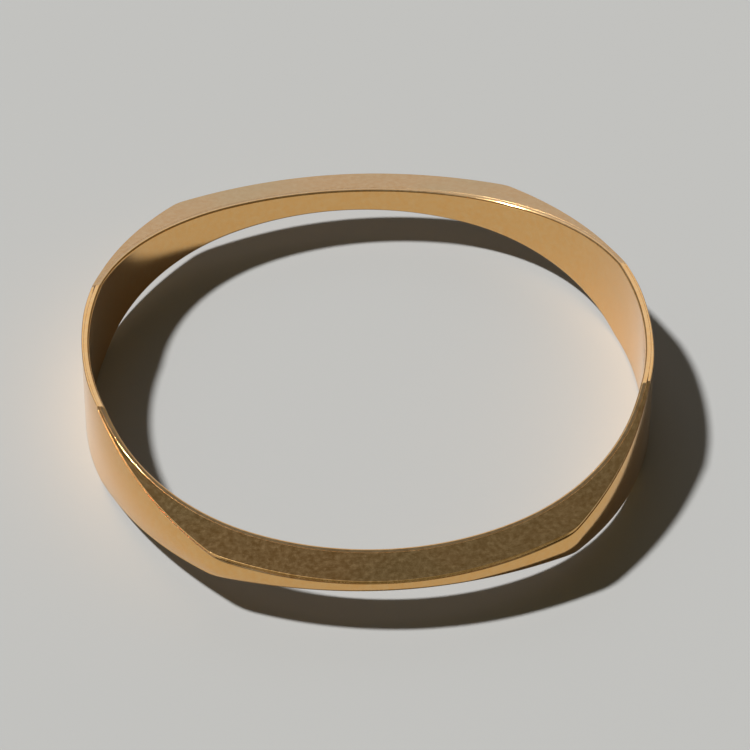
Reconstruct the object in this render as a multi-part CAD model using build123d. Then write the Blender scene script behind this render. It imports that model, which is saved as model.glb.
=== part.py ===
# Rigid slip-on bangle, made hollow from gold sheet: a stout inner band, four outer
# walls that meet at softly bent upright corners, and four crescent cover plates that
# slope away to the front and the back. All joints are soldered. Nothing moves.
# Units are millimetres. Origin: middle of the rest plane. +Z is up, -Y is the front.
from build123d import *
from math import atan, atan2, cos, degrees, hypot, radians, sin, sqrt, tan
import os

# ---------------------------------------------------------------- driving sizes
opening_across = 61.2        # wrist opening, flat to flat
opening_swell = 0.78         # how far each rounded corner reaches past the flats
bangle_height = 10.7         # full height, kept only at the two sides
side_depth = 0.85            # wall thickness at the middle of each side
front_depth = 4.40           # thickness at the middle of the front and the back
front_edge_height = 1.35     # height left at the outermost front and back edge
rim_flat_length = 20.8       # level stretch of rim at each side, before the facets
corner_reach = 5.40          # how far each upright corner stands out from the opening's flats
corner_turn = 57.8           # direction of each corner, in degrees from straight sideways
corner_bend = 6.0            # outside radius of the bend at each upright corner
outline_turn = 1.6           # how far the outer walls are turned against the opening, in degrees
band_sheet = 0.62            # sheet of the inner band
cover_sheet = 0.25           # sheet of the sloping cover plates
end_wall_sheet = 0.30        # sheet of the front and back walls
side_bedding = 0.25          # extra side sheet, filed away where it beds on the band
band_edge_round = 0.30       # rounding of the two edges that touch the wrist

# ---------------------------------------------------------------- derived sizes
half_opening = opening_across / 2
half_width = half_opening + side_depth
half_length = half_opening + front_depth
half_flat = rim_flat_length / 2
corner_x = (half_opening + corner_reach) * cos(radians(corner_turn))
corner_y = (half_opening + corner_reach) * sin(radians(corner_turn))
side_wall_sheet = side_depth - band_sheet + side_bedding
facet_rise = (bangle_height - front_edge_height) / 2
facet_slope = facet_rise / (half_length - half_flat)
facet_meet = half_flat + bangle_height / 2 / facet_slope
cover_upright = cover_sheet / cos(atan(facet_slope))
arc_span = 45                # the opening is eight tangent arcs, each turning this much
reach = 2 * half_length      # half length of the blocks that cut right across the bangle


def arc_centre(mid, along, across):
    """Centre offset and radius of the arc through (mid, 0) and (along, +-across)."""
    offset = (along**2 + across**2 - mid**2) / (2 * (along - mid))
    return offset, mid - offset


side_offset, side_radius = arc_centre(half_width, corner_x, corner_y)
end_offset, end_radius = arc_centre(half_length, corner_y, corner_x)


def bend_centre():
    """Middle of the corner bend that runs smoothly into the right and the back arc."""
    from_side = side_radius - corner_bend
    from_end = end_radius - corner_bend
    apart = hypot(side_offset, end_offset)
    along = (from_side**2 - from_end**2 + apart**2) / (2 * apart)
    across = sqrt(from_side**2 - along**2)
    step_x, step_y = -side_offset / apart, end_offset / apart
    return side_offset + along * step_x - across * step_y, along * step_y + across * step_x


bend_x, bend_y = bend_centre()
bend_start = degrees(atan2(bend_y, bend_x - side_offset))
bend_end = degrees(atan2(bend_y - end_offset, bend_x))


def opening_column(grow):
    """Soft-square column: the wrist opening, grown outwards by a sheet thickness."""
    turn = radians(arc_span / 2)
    spread = opening_swell / (sqrt(2) * sin(turn) + cos(turn) - sin(turn) - 1)
    flat_radius = half_opening + spread * (cos(turn) - sin(turn))
    corner_radius = flat_radius - spread
    flat_centre = flat_radius - half_opening
    corner_centre = spread * sin(turn)
    edges = []
    for quarter in range(4):
        facing = Location((0, 0, 0), (0, 0, 90 * quarter))
        flat = CenterArc((-flat_centre, 0), flat_radius + grow, -arc_span / 2, arc_span)
        corner_at = (corner_centre, corner_centre)
        corner = CenterArc(corner_at, corner_radius + grow, arc_span / 2, arc_span)
        edges.append(facing * flat)
        edges.append(facing * corner)
    outline = make_face(Wire(edges))
    return extrude(outline, bangle_height, dir=(0, 0, 1))


def outer_column(grow):
    """Everything inside the outer walls, grown outwards: four shallow arcs, four bends."""
    bend = bend_end - bend_start
    edges = []
    for half in (0, 180):
        facing = Location((0, 0, 0), (0, 0, half + outline_turn))
        near_bend = (bend_x, bend_y)
        far_bend = (-bend_x, bend_y)
        side = CenterArc((side_offset, 0), side_radius + grow, -bend_start, 2 * bend_start)
        end = CenterArc((0, end_offset), end_radius + grow, bend_end, 180 - 2 * bend_end)
        edges.append(facing * side)
        edges.append(facing * CenterArc(near_bend, corner_bend + grow, bend_start, bend))
        edges.append(facing * end)
        edges.append(facing * CenterArc(far_bend, corner_bend + grow, 180 - bend_end, bend))
    outline = make_face(Wire(edges))
    return extrude(outline, bangle_height, dir=(0, 0, 1))


def across_bangle(points):
    """Solid with the given outline seen from the side, running right across in X."""
    outline = make_face(Polyline(*[(0, y, z) for y, z in points], close=True))
    return Pos(-reach, 0, 0) * extrude(outline, 2 * reach, dir=(1, 0, 0))


def side_profile():
    """Level over each side, then falling and rising to a point at front and back."""
    middle = bangle_height / 2
    top = [(-half_flat, bangle_height), (half_flat, bangle_height)]
    bottom = [(half_flat, 0), (-half_flat, 0)]
    return across_bangle(top + [(facet_meet, middle)] + bottom + [(-facet_meet, middle)])


def cover_slab():
    """The layer of sheet lying along the upper back facet."""
    far = (half_length + facet_meet) / 2
    fall = facet_slope * (far - half_flat)
    high = [(half_flat, bangle_height), (far, bangle_height - fall)]
    low = [(y, z - cover_upright) for y, z in reversed(high)]
    return across_bangle(high + low)


def end_wedge():
    """Upright wedge over the back, cut along the seam in the middle of each corner bend."""
    lean = tan(radians((bend_start + bend_end) / 2))
    apex = bend_y - lean * bend_x
    far_x = corner_x + half_length
    far_y = apex + lean * far_x
    outline = make_face(Polyline((0, apex), (far_x, far_y), (-far_x, far_y), close=True))
    wedge = extrude(outline, bangle_height, dir=(0, 0, 1))
    return wedge.rotate(Axis.Z, outline_turn)


def flipped(shape, upside=False, half_turn=False):
    """The same piece on the under side, or at the opposite end or side."""
    if upside:
        middle = Plane.XY.offset(bangle_height / 2)
        shape = shape.mirror(middle)
    if half_turn:
        shape = shape.rotate(Axis.Z, 180)
    return shape


def make_band(profile):
    """Inner band, with its wrist edges softened top and bottom."""
    band = (opening_column(band_sheet) - opening_column(0)) & profile
    band = band.solids()[0]
    wrist_faces = []
    for face in band.faces():
        centre = face.position_at(0.5, 0.5)
        facing = face.normal_at(centre)
        if facing.X * centre.X + facing.Y * centre.Y < -0.5 * centre.length:
            wrist_faces.append(face)
    edges = []
    for face in wrist_faces:
        for edge in face.edges():
            if abs((edge % 0.5).Z) < 0.5:
                edges.append(edge)
    return band.fillet(band_edge_round, edges)


def make_walls(ring, covers):
    """Back wall and right wall, meeting at the corner seams, under the cover plates."""
    wedge = end_wedge()
    right_half = Pos(reach / 2, 0, 0) * Box(reach, 2 * reach, 4 * bangle_height)
    back = (ring & wedge) - outer_column(-end_wall_sheet)
    right = ring - wedge - flipped(wedge, half_turn=True)
    right = (right & right_half) - outer_column(-side_wall_sheet)
    for cover in covers:
        back = back - cover
        right = right - cover
    return back.solids()[0], right.solids()[0]


profile = side_profile()
band_hole = opening_column(band_sheet)
ring = (outer_column(0) & profile) - band_hole

top_back = (ring & cover_slab()).solids()[0]
covers = {
    "top_back_plate": top_back,
    "top_front_plate": flipped(top_back, half_turn=True),
    "bottom_back_plate": flipped(top_back, upside=True),
    "bottom_front_plate": flipped(top_back, upside=True, half_turn=True),
}
back_wall, right_wall = make_walls(ring, list(covers.values()))
pieces = {
    "inner_band": make_band(profile),
    "back_wall": back_wall,
    "front_wall": flipped(back_wall, half_turn=True),
    "right_wall": right_wall,
    "left_wall": flipped(right_wall, half_turn=True),
}
pieces.update(covers)

os.makedirs("parts", exist_ok=True)
for name, piece in pieces.items():
    export_step(piece, "parts/" + name + ".step")
    box = piece.bounding_box()
    print(name, "volume", round(piece.volume, 2), "size", box.size)
print("facet slope in degrees", round(degrees(atan(facet_slope)), 2))
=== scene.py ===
# Faceted gold slip-on bangle on a pale table
from math import acos, atan2, cos, hypot, pi, radians, sin, sqrt, tan

import bmesh
import bpy
from mathutils import Matrix, Vector


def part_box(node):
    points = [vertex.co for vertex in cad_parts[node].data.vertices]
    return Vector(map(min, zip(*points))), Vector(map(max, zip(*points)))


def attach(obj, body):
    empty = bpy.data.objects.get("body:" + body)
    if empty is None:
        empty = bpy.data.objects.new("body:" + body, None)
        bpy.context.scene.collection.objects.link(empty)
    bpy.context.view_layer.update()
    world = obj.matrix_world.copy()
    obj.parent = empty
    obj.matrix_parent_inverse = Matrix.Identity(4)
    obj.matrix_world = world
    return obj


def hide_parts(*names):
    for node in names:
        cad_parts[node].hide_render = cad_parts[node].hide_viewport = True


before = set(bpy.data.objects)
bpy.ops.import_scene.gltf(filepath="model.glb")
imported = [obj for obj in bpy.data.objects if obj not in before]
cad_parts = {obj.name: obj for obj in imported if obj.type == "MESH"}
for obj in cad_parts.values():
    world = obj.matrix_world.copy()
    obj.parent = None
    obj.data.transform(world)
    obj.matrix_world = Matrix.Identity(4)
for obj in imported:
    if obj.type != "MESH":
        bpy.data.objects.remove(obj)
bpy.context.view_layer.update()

mm = 0.001
print("frame loaded,", len(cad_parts), "sheet metal pieces")

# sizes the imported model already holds, then the ones it does not show
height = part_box("right_wall")[1][2]
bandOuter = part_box("inner_band")[1][0]

sheet = {
    "band": 0.62 * mm,
    "cover": 0.25 * mm,
    "endWall": 0.30 * mm,
    "bedding": 0.25 * mm,      # spare side wall sheet, filed to sit on the band
    "swell": 0.78 * mm,        # how far the opening's rounded corners pass its flats
    "sideDepth": 0.85 * mm,
    "endDepth": 4.40 * mm,
    "outerEdge": 1.35 * mm,    # height left at the outermost front and back edge
    "levelRim": 20.8 * mm,     # length of the level rim at each side
    "cornerReach": 5.40 * mm,
    "cornerTurn": 57.8,        # degrees from straight sideways
    "cornerBend": 6.0 * mm,
    "outlineTurn": 1.6,        # degrees the outer walls are turned against the opening
    "crown": 0.36 * mm,        # how far the flanks lean in at their ridges
    "crownStart": 5 * mm,      # distance from the middle of a side where the crown begins
    "crownFull": 15 * mm,      # and where it is whole
    "crownFade": 20 * mm,      # distance from the middle of the front over which it dies out
}
halfOpening = bandOuter - sheet["band"]
halfWidth = halfOpening + sheet["sideDepth"]
halfLength = halfOpening + sheet["endDepth"]
flatHalf = sheet["levelRim"] / 2
cornerX = (halfOpening + sheet["cornerReach"]) * cos(radians(sheet["cornerTurn"]))
cornerY = (halfOpening + sheet["cornerReach"]) * sin(radians(sheet["cornerTurn"]))
slope = (height - sheet["outerEdge"]) / 2 / (halfLength - flatHalf)
sideSheet = sheet["sideDepth"] - sheet["band"] + sheet["bedding"]
coverUpright = sheet["cover"] * sqrt(1 + slope * slope)
bend = sheet["cornerBend"]
eighth = pi / 4


def arcThrough(mid, along, across):
    centre = (along**2 + across**2 - mid**2) / (2 * (along - mid))
    return centre, mid - centre


sideCentre, sideRadius = arcThrough(halfWidth, cornerX, cornerY)
endCentre, endRadius = arcThrough(halfLength, cornerY, cornerX)


def bendCentre():
    # middle of the corner bend that runs smoothly into the side and the end arc
    apart = hypot(sideCentre, endCentre)
    along = ((sideRadius - bend)**2 - (endRadius - bend)**2 + apart**2) / (2 * apart)
    across = sqrt((sideRadius - bend)**2 - along**2)
    step = Vector((-sideCentre, endCentre)) / apart
    return Vector((sideCentre + along * step.x - across * step.y, along * step.y + across * step.x))


bendAt = bendCentre()
bendStart = atan2(bendAt.y, bendAt.x - sideCentre)
bendEnd = atan2(bendAt.y - endCentre, bendAt.x)
seamTurn = (bendStart + bendEnd) / 2

# the wrist opening is eight tangent arcs, four flatter and four tighter
halfEighth = eighth / 2
spread = sheet["swell"] / (sqrt(2) * sin(halfEighth) + cos(halfEighth) - sin(halfEighth) - 1)
flatRadius = halfOpening + spread * (cos(halfEighth) - sin(halfEighth))
tightRadius = flatRadius - spread
flatCentre = flatRadius - halfOpening
tightCentre = spread * sin(halfEighth)


def openingPoint(turn, grow):
    # point of the opening's outline where the wall faces the angle turn
    quarter = round(turn / (2 * eighth))
    lean = turn - quarter * 2 * eighth
    if abs(lean) <= halfEighth:
        local = Vector((-flatCentre, 0)) + (flatRadius + grow) * Vector((cos(lean), sin(lean)))
    else:
        side = 1 if lean > 0 else -1
        centre = Vector((tightCentre, side * tightCentre))
        local = centre + (tightRadius + grow) * Vector((cos(lean), sin(lean)))
    return Matrix.Rotation(quarter * 2 * eighth, 2) @ local


def openingSide(y, grow):
    # how far out the opening's right side stands at this y
    reach = (flatRadius + grow) * sin(halfEighth)
    if abs(y) <= reach:
        return -flatCentre + sqrt((flatRadius + grow)**2 - y * y)
    rise = min(abs(y) - tightCentre, tightRadius)
    return tightCentre + sqrt((tightRadius + grow)**2 - rise**2)


def outerArc(turn):
    # which arc of the outer outline faces the angle turn, taken in the first quarter
    lean = atan2(abs(sin(turn)), abs(cos(turn)))
    if lean <= bendStart:
        return Vector((sideCentre, 0)), sideRadius
    if lean < bendEnd:
        return bendAt, bend
    return Vector((0, endCentre)), endRadius


def outerPoint(turn, grow):
    centre, radius = outerArc(turn)
    x = centre.x + (radius + grow) * abs(cos(turn))
    y = centre.y + (radius + grow) * abs(sin(turn))
    local = Vector((x if cos(turn) > 0 else -x, y if sin(turn) > 0 else -y))
    return Matrix.Rotation(radians(sheet["outlineTurn"]), 2) @ local


def spreadTurns(start, end, step):
    # facing angles from start to end, closely spaced and twice as close in the bends
    turns = [start]
    while turns[-1] < end:
        radius = outerArc(turns[-1])[1]
        turns.append(turns[-1] + step / radius * (0.5 if radius == bend else 1))
    turns[-1] = end
    return turns


def solve(test, low, high):
    # where the test turns positive between low and high
    for i in range(44):  # each pass halves the gap
        middle = (low + high) / 2
        if test(middle) > 0:
            high = middle
        else:
            low = middle
    return (low + high) / 2


def smoothStep(value):
    t = max(0.0, min(1.0, value))
    return t * t * (3 - 2 * t)


def crownAt(p):
    # the flanks are slightly crowned, the middles of the four walls are not
    along = smoothStep((abs(p.y) - sheet["crownStart"]) / (sheet["crownFull"] - sheet["crownStart"]))
    return sheet["crown"] * along * smoothStep(abs(p.x) / sheet["crownFade"])


def endShare(turn):
    # 0 along the flanks, 1 along the front and the back
    lean = atan2(abs(sin(turn)), abs(cos(turn)))
    return smoothStep((lean - bendStart) / (bendEnd - bendStart))


def topHeight(y):
    return height - slope * max(0.0, abs(y) - flatHalf)


def softCorners(corners, rounds, steps=5, support=0.01 * mm):
    # closed section with rounded corners, and a supporting point beside each round
    points = []
    count = len(corners)
    for i, corner in enumerate(corners):
        radius = rounds[i]
        if radius == 0:
            points.append(corner)
            continue
        before = (corners[i - 1] - corner).normalized()
        after = (corners[(i + 1) % count] - corner).normalized()
        half = acos(max(-1.0, min(1.0, before.dot(after)))) / 2
        centre = corner + (before + after).normalized() * radius / sin(half)
        start = corner + before * radius / tan(half)
        end = corner + after * radius / tan(half)
        points.append(start + before * support)
        first = start - centre
        side = (end - centre) - first * (end - centre).dot(first) / first.dot(first)
        for k in range(steps + 1):
            swing = (pi - 2 * half) * k / steps
            reach = first.normalized() * cos(swing) + side.normalized() * sin(swing)
            points.append(centre + reach * radius)
        points.append(end + after * support)
    return points


def loftSheet(name, sections, halfTurn=False, under=False):
    # skin a row of equal sections, cap both ends, move to the wanted side
    mesh = bpy.data.meshes.new(name)
    build = bmesh.new()
    turned = -1 if halfTurn else 1
    rows = []
    for section in sections:
        row = []
        for p in section:
            z = height - p.z if under else p.z
            row.append(build.verts.new((turned * p.x, turned * p.y, z)))
        rows.append(row)
    for row, following in zip(rows, rows[1:]):
        for k in range(len(row)):
            n = (k + 1) % len(row)
            face = build.faces.new((row[k], row[n], following[n], following[k]))
            face.smooth = True
    caps = [build.faces.new(rows[0]), build.faces.new(rows[-1])]
    bmesh.ops.recalc_face_normals(build, faces=build.faces)
    for cap in caps:
        for edge in cap.edges:
            edge.smooth = False
    build.to_mesh(mesh)
    build.free()
    piece = bpy.data.objects.new(name, mesh)
    bpy.context.collection.objects.link(piece)
    return piece


def upright(inner, outer, flat, crown=0.0, halfHigh=1.0):
    # section standing on the line from inner to outer, its outer face crowned
    width = (outer - inner).length
    along = (outer - inner).normalized()
    section = []
    for p in flat:
        out = p.x - p.x / width * crown * ((p.y - height / 2) / halfHigh)**2
        section.append(Vector((inner.x + along.x * out, inner.y + along.y * out, p.y)))
    return section


# cover plates
cover = {
    "step": 0.25 * mm,        # spacing of sections along the plate
    "endRound": 0.14 * mm,    # rounding of the outer ridge at the front and the back
    "flankRound": 0.0001 * mm,  # and along the flanks, where it is left sharp
    "underRound": 0.02 * mm,
    "seamRound": 0.03 * mm,   # rounding beside the inner band
    "hidden": 0.01 * mm,
    "flankBevel": 0.02 * mm,  # how far the plate's edge leans back along the flanks
    "endBevel": 0.13 * mm,    # and along the front and the back
    "sink": 0.02 * mm,        # the plate's lower corner, kept clear of the wall below
    "support": 0.03,          # supporting points beside a round, as a share of its radius
    "leastSupport": 0.0002 * mm,
}


def coverSections():
    start = solve(lambda turn: outerPoint(turn, 0).y - flatHalf, 0, bendStart)
    end = solve(lambda turn: outerPoint(turn, 0).y - flatHalf, pi, pi - bendStart)
    innerStart = solve(lambda turn: openingPoint(turn, sheet["band"]).y - flatHalf, 0, eighth)
    outer = []
    for turn in spreadTurns(start, end, cover["step"]):
        p = outerPoint(turn, 0)
        share = endShare(turn)
        bevel = cover["flankBevel"] + share * (cover["endBevel"] - cover["flankBevel"])
        ridge = cover["flankRound"] + share * (cover["endRound"] - cover["flankRound"])
        outer.append((outerPoint(turn, -crownAt(p)), bevel, ridge))
    firstAngle = atan2(outer[0][0].y, outer[0][0].x)
    lastAngle = atan2(outer[-1][0].y, outer[-1][0].x)
    sections = []
    for b, bevel, ridge in outer:
        share = (atan2(b.y, b.x) - firstAngle) / (lastAngle - firstAngle)
        a = openingPoint(innerStart + (pi - 2 * innerStart) * share, sheet["band"])
        width = (b - a).length
        topA, topB = topHeight(a.y), topHeight(b.y)
        rise = (topB - topA) / width
        corners = [Vector((0, topA)), Vector((width - bevel, topB - rise * bevel)),
                   Vector((width, topB - coverUpright + cover["sink"])),
                   Vector((0, topA - coverUpright))]
        under = min(ridge, cover["underRound"])
        rounds = [cover["seamRound"], ridge, under, cover["hidden"]]
        support = max(cover["leastSupport"], ridge * cover["support"])
        sections.append(upright(a, b, softCorners(corners, rounds, support=support)))
    return sections


# outer walls
wall = {
    "step": 0.25 * mm,
    "rimRound": 0.09 * mm,    # rounding of the level rim
    "rimSeam": 0.012 * mm,
    "seamRound": 0.045 * mm,  # the fine dark line under each plate
    "hidden": 0.001 * mm,
    "notch": 0.01 * mm,       # run of the step down under a cover plate
    "rows": 11,               # rows of points up the crowned face
    "blend": 1 * mm,          # past the level rim, where sections start turning to the seam
}


def wallSection(inner, outer, tops, rounds):
    # rounds are for inner top, outer top, outer bottom, inner bottom
    width = (outer - inner).length
    topIn, topOut = tops
    corners = [Vector((0, topIn)), Vector((width, topOut))]
    every = [rounds[0], rounds[1]]
    for k in range(1, wall["rows"] + 1):
        z = topOut + (height - 2 * topOut) * k / (wall["rows"] + 1)
        corners.append(Vector((width, z)))
        every.append(0)
    corners += [Vector((width, height - topOut)), Vector((0, height - topIn))]
    every += [rounds[2], rounds[3]]
    halfHigh = topHeight(outer.y) - height / 2
    return upright(inner, outer, softCorners(corners, every), crownAt(outer), halfHigh)


def sideTurnAt(y, grow):
    return solve(lambda turn: outerPoint(turn, grow).y - y, -seamTurn, seamTurn)


def sideWallSections():
    low, high = outerPoint(-seamTurn, 0).y, outerPoint(seamTurn, 0).y
    stations = []
    for turn in spreadTurns(-seamTurn, seamTurn, wall["step"]):
        y = outerPoint(turn, 0).y
        if abs(abs(y) - flatHalf) > wall["step"] / 2:
            stations.append(y)
    for side in (-1, 1):
        stations += [side * (flatHalf - wall["notch"]), side * (flatHalf + wall["notch"])]
    blendFrom = flatHalf + wall["blend"]
    sections = []
    for y in sorted(stations):
        turn = max(-seamTurn, min(seamTurn, sideTurnAt(y, 0)))
        outer = outerPoint(turn, 0)
        end = high if y > 0 else -low
        share = max(0.0, (abs(y) - blendFrom) / (end - blendFrom))
        innerY = y + share * (outerPoint(turn, -sideSheet).y - y)
        inner = outerPoint(sideTurnAt(innerY, -sideSheet), -sideSheet)
        inner = Vector((max(inner.x, openingSide(innerY, sheet["band"])), innerY))
        if abs(y) < flatHalf:
            tops = (height, height)
            rounds = [wall["rimSeam"], wall["rimRound"], wall["rimRound"], wall["rimSeam"]]
        else:
            tops = (topHeight(innerY) - coverUpright, topHeight(outer.y) - coverUpright)
            seam = wall["hidden"] + endShare(turn) * (wall["seamRound"] - wall["hidden"])
            rounds = [wall["hidden"], seam, seam, wall["hidden"]]
        sections.append(wallSection(inner, outer, tops, rounds))
    return sections


def endWallSections():
    sections = []
    for turn in spreadTurns(seamTurn, pi - seamTurn, wall["step"]):
        seam = wall["hidden"] + endShare(turn) * (wall["seamRound"] - wall["hidden"])
        rounds = [wall["hidden"], seam, seam, wall["hidden"]]
        inner, outer = outerPoint(turn, -sheet["endWall"]), outerPoint(turn, 0)
        tops = (topHeight(inner.y) - coverUpright, topHeight(outer.y) - coverUpright)
        sections.append(wallSection(inner, outer, tops, rounds))
    return sections


# inner band
band = {
    "sections": 1440,         # steps round the wrist
    "wristRound": 0.30 * mm,  # comfort rounding of the two wrist edges
    "seamRound": 0.03 * mm,   # rounding beside the cover plates
    "roundSteps": 8,
    "creaseSoft": 0.10 * mm,  # how softly the rim turns down into each facet
}


class Tree:
    # small helper that adds and links nodes
    def __init__(self, nodeTree):
        self.tree = nodeTree

    def add(self, kind, settings=None, **inputs):
        node = self.tree.nodes.new(kind)
        for key, value in (settings or {}).items():
            setattr(node, key, value)
        for key, value in inputs.items():
            self.put(node, key, value)
        return node

    def put(self, node, key, value):
        name = key.replace("_", " ")
        socket = node.inputs[int(name[1:])] if name[0] == "i" and name[1:].isdigit() else node.inputs[name]
        if isinstance(value, bpy.types.NodeSocket):
            self.tree.links.new(value, socket)
        elif isinstance(value, bpy.types.Node):
            self.tree.links.new(value.outputs[0], socket)
        else:
            socket.default_value = value

    def math(self, operation, a, b=None, c=None):
        node = self.add("ShaderNodeMath", {"operation": operation}, i0=a)
        if b is not None:
            self.put(node, "i1", b)
        if c is not None:
            self.put(node, "i2", c)
        return node.outputs[0]


def outlineInTree(t, halfOpen, swell, count):
    # the eight-arc outline, as a position for every point of a circle
    k = 1 / (sqrt(2) * sin(halfEighth) + cos(halfEighth) - sin(halfEighth) - 1)
    gap = t.math("MULTIPLY", swell, k)
    flatR = t.math("MULTIPLY_ADD", gap, cos(halfEighth) - sin(halfEighth), halfOpen)
    tightR = t.math("SUBTRACT", flatR, gap)
    flatC = t.math("SUBTRACT", halfOpen, flatR)
    tightC = t.math("MULTIPLY", gap, sin(halfEighth))
    index = t.add("GeometryNodeInputIndex")
    turn = t.math("DIVIDE", t.math("MULTIPLY", index.outputs[0], 2 * pi), count)
    lean = t.math("WRAP", turn, eighth, -eighth)
    base = t.math("SUBTRACT", turn, lean)
    isTight = t.math("GREATER_THAN", t.math("ABSOLUTE", lean), halfEighth)
    sideSign = t.math("SIGN", lean)
    radius = t.add("ShaderNodeMix", {"data_type": "FLOAT"}, Factor=isTight, i2=flatR, i3=tightR).outputs[0]
    centreX = t.add("ShaderNodeMix", {"data_type": "FLOAT"}, Factor=isTight, i2=flatC, i3=tightC).outputs[0]
    centreY = t.math("MULTIPLY", t.math("MULTIPLY", sideSign, tightC), isTight)
    x = t.math("MULTIPLY_ADD", radius, t.math("COSINE", lean), centreX)
    y = t.math("MULTIPLY_ADD", radius, t.math("SINE", lean), centreY)
    local = t.add("ShaderNodeCombineXYZ", X=x, Y=y)
    return t.add("ShaderNodeVectorRotate", {"rotation_type": "Z_AXIS"}, Vector=local, Angle=base)


def makeBandTree():
    nodeTree = bpy.data.node_groups.new("rolledBand", "GeometryNodeTree")
    face = nodeTree.interface
    face.new_socket("Geometry", in_out="INPUT", socket_type="NodeSocketGeometry")
    for title in ("Half Opening", "Swell", "Height", "Flat Half", "Slope", "Crease Soft"):
        face.new_socket(title, in_out="INPUT", socket_type="NodeSocketFloat")
    face.new_socket("Sections", in_out="INPUT", socket_type="NodeSocketInt")
    face.new_socket("Profile", in_out="INPUT", socket_type="NodeSocketObject")
    face.new_socket("Finish", in_out="INPUT", socket_type="NodeSocketMaterial")
    face.new_socket("Geometry", in_out="OUTPUT", socket_type="NodeSocketGeometry")
    t = Tree(nodeTree)
    given = t.add("NodeGroupInput")
    size = {s.name: s for s in given.outputs}
    circle = t.add("GeometryNodeCurvePrimitiveCircle", Resolution=size["Sections"], Radius=1.0)
    outline = outlineInTree(t, size["Half Opening"], size["Swell"], size["Sections"])
    path = t.add("GeometryNodeSetPosition", Geometry=circle, Position=outline)
    upward = t.add("GeometryNodeSetCurveNormal", {"mode": "Z_UP"}, Curve=path)
    section = t.add("GeometryNodeObjectInfo", Object=size["Profile"])
    swept = t.add("GeometryNodeCurveToMesh", Curve=upward, Profile_Curve=section.outputs["Geometry"])
    place = t.add("ShaderNodeSeparateXYZ", Vector=t.add("GeometryNodeInputPosition").outputs[0])
    away = t.math("SUBTRACT", t.math("ABSOLUTE", place.outputs["Y"]), size["Flat Half"])
    run = t.math("SMOOTH_MAX", away, 0.0, size["Crease Soft"])
    fall = t.math("MULTIPLY", run, size["Slope"])
    middle = t.math("MULTIPLY", size["Height"], 0.5)
    half = t.math("SIGN", t.math("SUBTRACT", middle, place.outputs["Z"]))
    shift = t.add("ShaderNodeCombineXYZ", Z=t.math("MULTIPLY", fall, half))
    sloped = t.add("GeometryNodeSetPosition", Geometry=swept, Offset=shift)
    smooth = t.add("GeometryNodeSetShadeSmooth", Geometry=sloped)
    real = t.add("GeometryNodeRealizeInstances", Geometry=smooth)
    done = t.add("GeometryNodeSetMaterial", Geometry=real, Material=size["Finish"])
    t.add("NodeGroupOutput", Geometry=done)
    return nodeTree


def makeBand(name, finish):
    corners = [Vector((0, 0)), Vector((sheet["band"], 0)),
               Vector((sheet["band"], height)), Vector((0, height))]
    rounds = [band["wristRound"], band["seamRound"], band["seamRound"], band["wristRound"]]
    points = softCorners(corners, rounds, band["roundSteps"])
    curve = bpy.data.curves.new("bandProfile", "CURVE")
    curve.dimensions = "3D"
    line = curve.splines.new("POLY")
    line.points.add(len(points) - 1)
    for point, p in zip(line.points, reversed(points)):
        point.co = (p.x, -p.y, 0, 1)  # the sweep turns the profile's y downwards
    line.use_cyclic_u = True
    profile = bpy.data.objects.new("bandProfile", curve)
    bpy.context.collection.objects.link(profile)
    holder = bpy.data.objects.new("bandHolder", bpy.data.meshes.new("bandHolder"))
    bpy.context.collection.objects.link(holder)
    roll = holder.modifiers.new("roll", "NODES")
    roll.node_group = makeBandTree()
    values = {"Half Opening": halfOpening, "Swell": sheet["swell"], "Height": height,
              "Flat Half": flatHalf, "Slope": slope, "Crease Soft": band["creaseSoft"],
              "Sections": band["sections"], "Profile": profile, "Finish": finish}
    for item in roll.node_group.interface.items_tree:
        if item.in_out == "INPUT" and item.name in values:
            roll[item.identifier] = values[item.name]
    bpy.context.view_layer.update()
    ready = holder.evaluated_get(bpy.context.evaluated_depsgraph_get())
    mesh = bpy.data.meshes.new_from_object(ready)
    mesh.name = name
    piece = bpy.data.objects.new(name, mesh)
    bpy.context.collection.objects.link(piece)
    holder.modifiers.remove(roll)
    bpy.data.objects.remove(holder)
    bpy.data.objects.remove(profile)
    return piece


# gold finishes
gold = {
    "warm": (0.85, 0.47, 0.158, 1),
    "pale": (0.87, 0.53, 0.21, 1),
    "green": (0.70, 0.53, 0.23, 1),      # faint greenish bloom on the plates
    "haze": (0.95, 0.76, 0.48, 1),       # light thrown wide by the finest scratches
    "hazeRough": 0.5,
    "hazeSpread": (0.3, 0.7),
    "patchSize": 0.55 * mm,              # cloudy patches of wear
    "patchSpread": (0.35, 0.68),
    "speckSize": 0.11 * mm,
    "bloomSize": 14 * mm,
    "bloomSpread": (0.42, 0.62),
    "hairWidth": 0.05 * mm,              # fine scratches
    "hairLength": 2.5 * mm,
    "hairTurns": (0.15, 1.25, 2.3),      # the ways they run, in radians
    "hairAmount": 0.42,
    "edgeSpread": (0.35, 0.95),          # how narrow the worn edges are
    "reliefDepth": 0.01 * mm,
}
bandFinish = {"rough": 0.09, "wear": 0.03, "edgeWear": 0.02, "bump": 0.15, "haze": (0.03, 0.07), "green": 0.0}
wallFinish = {"rough": 0.10, "wear": 0.03, "edgeWear": 0.02, "bump": 0.15, "haze": (0.02, 0.06), "green": 0.0}
plateFinish = {"rough": 0.13, "wear": 0.07, "edgeWear": 0.2, "bump": 0.45, "haze": (0.0, 0.02), "green": 0.35}


def ramped(t, value, spread, low=0.0, high=1.0):
    # the value stretched from its spread to low and high
    node = t.add("ShaderNodeMapRange", Value=value, From_Min=spread[0], From_Max=spread[1],
                 To_Min=low, To_Max=high)
    return node.outputs["Result"]


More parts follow.
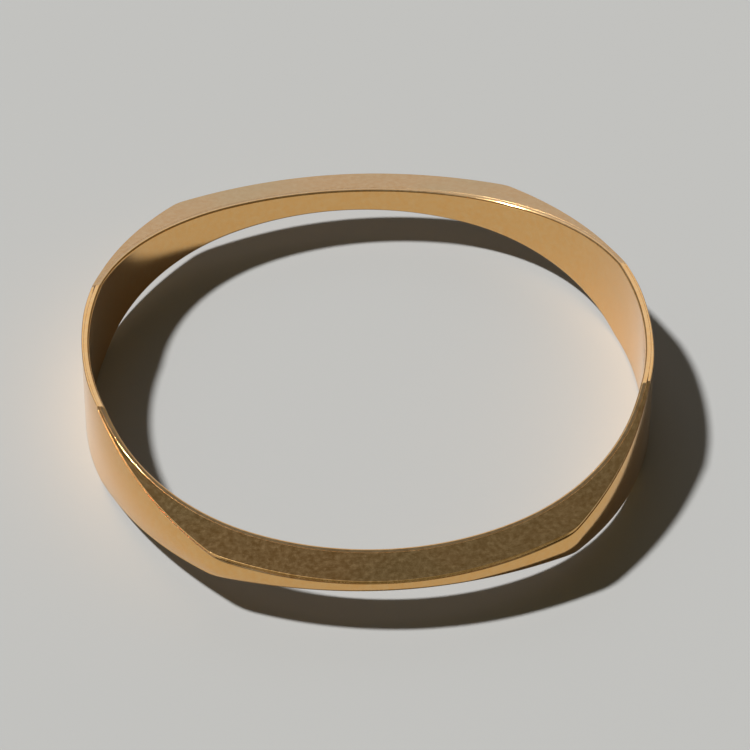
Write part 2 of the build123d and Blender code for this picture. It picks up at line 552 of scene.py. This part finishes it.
def scratchLayer(t, coords, turn):
    # long thin strands of noise, cut to sparse lines
    width, length = gold["hairWidth"], gold["hairLength"]
    place = t.add("ShaderNodeMapping", Vector=coords)
    place.inputs["Rotation"].default_value = (0, 0, turn)
    place.inputs["Scale"].default_value = (1 / length, 1 / width, 1 / width)
    noise = t.add("ShaderNodeTexNoise", {"noise_dimensions": "3D"}, Vector=place, Scale=1.0, Detail=1.0)
    return ramped(t, noise.outputs["Fac"], (1 - gold["hairAmount"], 1.0))


def makeGold(name, finish):
    # metal with cloudy roughness, fine scratches and rougher worn edges
    material = bpy.data.materials.new(name)
    material.use_nodes = True
    material.node_tree.nodes.clear()
    t = Tree(material.node_tree)
    coords = t.add("ShaderNodeTexCoord").outputs["Object"]
    patches = t.add("ShaderNodeTexNoise", Vector=coords, Scale=1 / gold["patchSize"],
                    Detail=5.0, Roughness=0.6).outputs["Fac"]
    specks = t.add("ShaderNodeTexNoise", Vector=coords, Scale=1 / gold["speckSize"],
                   Detail=3.0, Roughness=0.7).outputs["Fac"]
    bloomAt = t.add("ShaderNodeTexNoise", Vector=coords, Scale=1 / gold["bloomSize"],
                    Detail=2.0).outputs["Fac"]
    lines = None
    for turn in gold["hairTurns"]:
        layer = scratchLayer(t, coords, turn)
        lines = layer if lines is None else t.math("MAXIMUM", lines, layer)
    facing = t.add("ShaderNodeSeparateXYZ", Vector=t.add("ShaderNodeNewGeometry").outputs["Normal"])
    upness = t.math("MULTIPLY", facing.outputs["Z"], facing.outputs["Z"])
    edge = t.math("MULTIPLY", t.math("MULTIPLY", upness, t.math("SUBTRACT", 1.0, upness)), 4.0)
    worn = ramped(t, edge, gold["edgeSpread"])
    cloud = ramped(t, patches, gold["patchSpread"])
    colour = t.add("ShaderNodeMix", {"data_type": "RGBA"}, Factor=cloud, i6=gold["warm"], i7=gold["pale"])
    bloomShare = ramped(t, bloomAt, gold["bloomSpread"], high=finish["green"])
    tint = t.add("ShaderNodeMix", {"data_type": "RGBA"}, Factor=bloomShare, i6=colour.outputs[2],
                 i7=gold["green"])
    dull = t.math("MULTIPLY", cloud, finish["wear"])
    grain = t.math("MULTIPLY", lines, finish["wear"] * 0.9)
    roughness = t.math("ADD", t.math("ADD", dull, grain), finish["rough"])
    roughness = t.math("ADD", roughness, t.math("MULTIPLY", worn, finish["edgeWear"]))
    relief = t.math("ADD", t.math("MULTIPLY", lines, -0.6), t.math("MULTIPLY", specks, 0.5))
    bump = t.add("ShaderNodeBump", Height=relief, Strength=finish["bump"], Distance=gold["reliefDepth"])
    shader = t.add("ShaderNodeBsdfPrincipled", Metallic=1.0, Base_Color=tint.outputs[2],
                   Roughness=roughness, Normal=bump)
    bloom = t.add("ShaderNodeBsdfPrincipled", Metallic=1.0, Base_Color=gold["haze"],
                  Roughness=gold["hazeRough"], Normal=bump)
    veil = ramped(t, patches, gold["hazeSpread"], *finish["haze"])
    both = t.add("ShaderNodeMixShader", Fac=veil, i1=shader, i2=bloom)
    t.add("ShaderNodeOutputMaterial", Surface=both)
    return material


bandGold = makeGold("bandGold", bandFinish)
wallGold = makeGold("wallGold", wallFinish)
plateGold = makeGold("plateGold", plateFinish)
print("three gold finishes made")


def dress(piece, material, node):
    piece.data.materials.clear()
    piece.data.materials.append(material)
    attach(piece, "root")
    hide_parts(node)


dress(makeBand("rolledBand", bandGold), bandGold, "inner_band")
sideWall = sideWallSections()
dress(loftSheet("rightWall", sideWall), wallGold, "right_wall")
dress(loftSheet("leftWall", sideWall, halfTurn=True), wallGold, "left_wall")
endWall = endWallSections()
dress(loftSheet("backWall", endWall), wallGold, "back_wall")
dress(loftSheet("frontWall", endWall, halfTurn=True), wallGold, "front_wall")
plates = coverSections()
for under, level in ((False, "top"), (True, "bottom")):
    for front, end in ((False, "back"), (True, "front")):
        piece = loftSheet(level + end.capitalize() + "Cover", plates, halfTurn=front, under=under)
        dress(piece, plateGold, level + "_" + end + "_plate")
print("nine pieces of sheet made")


# table and light
stage = {
    "floorHalf": 0.9,
    "floorColour": (0.292, 0.290, 0.268, 1),
    "floorRough": 0.9,
    "floorGloss": 0.2,
    "grainScale": 1500.0,     # fine grain of the table, in bumps per metre
    "grainStrength": 0.05,
    "grainDepth": 0.05 * mm,
    "sunTravel": -17.0,       # compass direction the light travels, in degrees
    "sunHeight": 57.5,        # elevation of the light, in degrees
    "sunSoftness": 5.0,       # degrees across the light
    "sunStrength": 6.2,
    "sunColour": (0.99, 1.0, 1.06),
}


def makeFloor():
    mesh = bpy.data.meshes.new("tableTop")
    build = bmesh.new()
    bmesh.ops.create_grid(build, x_segments=8, y_segments=8, size=stage["floorHalf"])
    build.to_mesh(mesh)
    build.free()
    floor = bpy.data.objects.new("tableTop", mesh)
    bpy.context.collection.objects.link(floor)
    material = bpy.data.materials.new("paleTable")
    material.use_nodes = True
    t = Tree(material.node_tree)
    shader = material.node_tree.nodes["Principled BSDF"]
    shader.inputs["Base Color"].default_value = stage["floorColour"]
    shader.inputs["Roughness"].default_value = stage["floorRough"]
    shader.inputs["Specular IOR Level"].default_value = stage["floorGloss"]
    coords = t.add("ShaderNodeTexCoord").outputs["Object"]
    grain = t.add("ShaderNodeTexNoise", Vector=coords, Scale=stage["grainScale"], Detail=2.0)
    bump = t.add("ShaderNodeBump", Height=grain.outputs["Fac"], Strength=stage["grainStrength"],
                 Distance=stage["grainDepth"])
    t.put(shader, "Normal", bump)
    mesh.materials.append(material)


def makeSun():
    data = bpy.data.lights.new("windowLight", "SUN")
    data.energy = stage["sunStrength"]
    data.angle = radians(stage["sunSoftness"])
    data.color = stage["sunColour"]
    lamp = bpy.data.objects.new("windowLight", data)
    a, e = radians(stage["sunTravel"]), radians(stage["sunHeight"])
    travel = Vector((cos(a) * cos(e), sin(a) * cos(e), -sin(e)))
    lamp.rotation_euler = travel.to_track_quat("-Z", "Y").to_euler()
    bpy.context.collection.objects.link(lamp)


room = {
    # height of the direction looked in, then the colour seen there
    "behind": [(0.0, (0.48, 0.53, 0.68)), (0.28, (0.50, 0.56, 0.76)), (0.46, (0.72, 0.76, 0.94)),
               (0.68, (0.86, 0.89, 1.02)), (0.79, (0.115, 0.12, 0.125)), (1.0, (0.105, 0.095, 0.075))],
    "around": [(0.0, (0.12, 0.10, 0.055)), (0.5, (0.13, 0.11, 0.06)), (1.0, (0.11, 0.10, 0.075))],
    # the part behind fades out sideways and towards the front, between these directions
    "asideFade": (0.22, 0.5),
    "frontFade": (0.1, 0.3),
}


def skyRamp(t, lift, stops):
    ramp = t.add("ShaderNodeValToRGB", Fac=lift)
    bar = ramp.color_ramp
    while len(bar.elements) < len(stops):
        bar.elements.new(0.5)
    for element, (at, colour) in zip(bar.elements, stops):
        element.position = at
        element.color = (*colour, 1)
    return ramp.outputs["Color"]


def makeRoom():
    # a cool bright window wall behind the table, a dim warm room all round
    world = bpy.data.worlds.new("studio")
    bpy.context.scene.world = world
    world.use_nodes = True
    world.node_tree.nodes.clear()
    t = Tree(world.node_tree)
    way = t.add("ShaderNodeSeparateXYZ", Vector=t.add("ShaderNodeTexCoord").outputs["Generated"])
    behind = skyRamp(t, way.outputs["Z"], room["behind"])
    around = skyRamp(t, way.outputs["Z"], room["around"])
    soft = {"interpolation_type": "SMOOTHSTEP"}
    aside = t.add("ShaderNodeMapRange", soft, Value=t.math("ABSOLUTE", way.outputs["X"]),
                  From_Min=room["asideFade"][0], From_Max=room["asideFade"][1], To_Min=1.0, To_Max=0.0)
    away = t.add("ShaderNodeMapRange", soft, Value=way.outputs["Y"],
                 From_Min=room["frontFade"][0], From_Max=room["frontFade"][1])
    share = t.math("MULTIPLY", aside.outputs["Result"], away.outputs["Result"])
    both = t.add("ShaderNodeMix", {"data_type": "RGBA"}, Factor=share, i6=around, i7=behind)
    sky = t.add("ShaderNodeBackground", Color=both.outputs[2], Strength=1.0)
    t.add("ShaderNodeOutputWorld", Surface=sky)


makeFloor()
makeSun()
makeRoom()
print("table and light set")


# camera
view = {
    "lens": 197.81,
    "sensor": 36.0,
    "nearest": 0.01,
    "azimuth": 4.18,          # turned from straight in front, towards the left
    "elevation": 40.425,
    "distance": 0.4653,
    "lookX": 1.27 * mm,
    "lookY": 5.425 * mm,
    "roll": 0.219,
}


def makeCamera():
    data = bpy.data.cameras.new("tableCamera")
    data.lens = view["lens"]
    data.sensor_width = view["sensor"]
    data.clip_start = view["nearest"]
    camera = bpy.data.objects.new("tableCamera", data)
    a, e, r = radians(view["azimuth"]), radians(view["elevation"]), radians(view["roll"])
    back = Vector((-sin(a) * cos(e), -cos(a) * cos(e), sin(e)))
    right = Vector((cos(a), -sin(a), 0))
    up = back.cross(right)
    tiltedRight = right * cos(r) + up * sin(r)
    tiltedUp = back.cross(tiltedRight)
    place = Vector((view["lookX"], view["lookY"], 0)) + back * view["distance"]
    matrix = Matrix((tiltedRight, tiltedUp, back)).transposed().to_4x4()
    matrix.translation = place
    camera.matrix_world = matrix
    bpy.context.collection.objects.link(camera)
    bpy.context.scene.camera = camera


makeCamera()
bpy.context.scene.view_settings.view_transform = "Standard"
